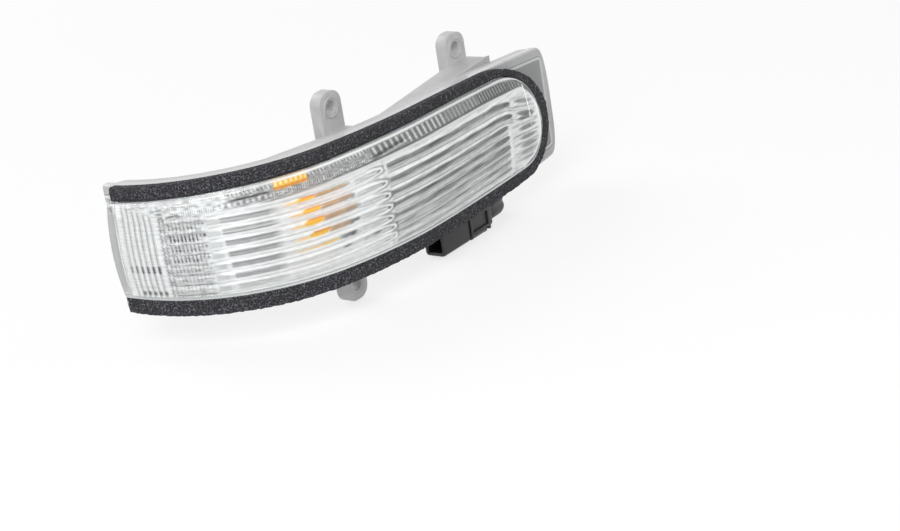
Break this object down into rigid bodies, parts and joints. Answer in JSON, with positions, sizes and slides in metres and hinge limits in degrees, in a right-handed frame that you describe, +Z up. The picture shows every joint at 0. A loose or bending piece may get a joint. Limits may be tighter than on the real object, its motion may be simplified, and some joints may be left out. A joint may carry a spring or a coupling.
{
  "type": "side repeater lamp",
  "caption": "Slim curved turn signal lamp for a door mirror: clear fluted lens on a grey housing with screw ears, foam seal, wires and a connector.",
  "frame": {"origin": "middle of the screw bore in the upper outboard ear, on the bore's axis and halfway through the ear", "axes": "+Z up, -Y the way the lens faces, +Y the way the screws come out, +X inboard along the lamp's long straight run; the outboard end turns back towards +Y"},
  "size_m": [0.1635, 0.0662, 0.0633],
  "materials": {
    "housing_grey": "fine moulded grain, satin",
    "lens_clear": "clear moulded plastic, fluted inside",
    "tray_bright": "bright metallised",
    "foam_dark": "open cell foam, matt",
    "amber_glass": "tinted amber",
    "filament_wire": "drawn wire",
    "holder_black": "satin",
    "contact_brass": "bright",
    "rubber_black": "matt",
    "wire_light": "satin insulation",
    "wire_dark": "satin insulation",
    "sleeve_black": "satin, flexible",
    "connector_black": "satin",
    "lock_grey": "satin"
  },
  "bodies": {
    "root": {"housing": "housing_grey", "lens": "lens_clear", "reflector": "tray_bright", "foam_gasket": "foam_dark", "bulb_glass": "amber_glass", "bulb_filament": "filament_wire", "bulb_socket": "holder_black", "socket_contact_a": "contact_brass", "socket_contact_b": "contact_brass", "grommet_a": "rubber_black", "grommet_b": "rubber_black", "wire_light": "wire_light", "wire_dark": "wire_dark", "wire_sleeve": "sleeve_black", "connector_body": "connector_black", "connector_lock": "lock_grey", "connector_pin_a": "contact_brass", "connector_pin_b": "contact_brass", "connector_seal_a": "rubber_black", "connector_seal_b": "rubber_black"}
  },
  "joints": []
}
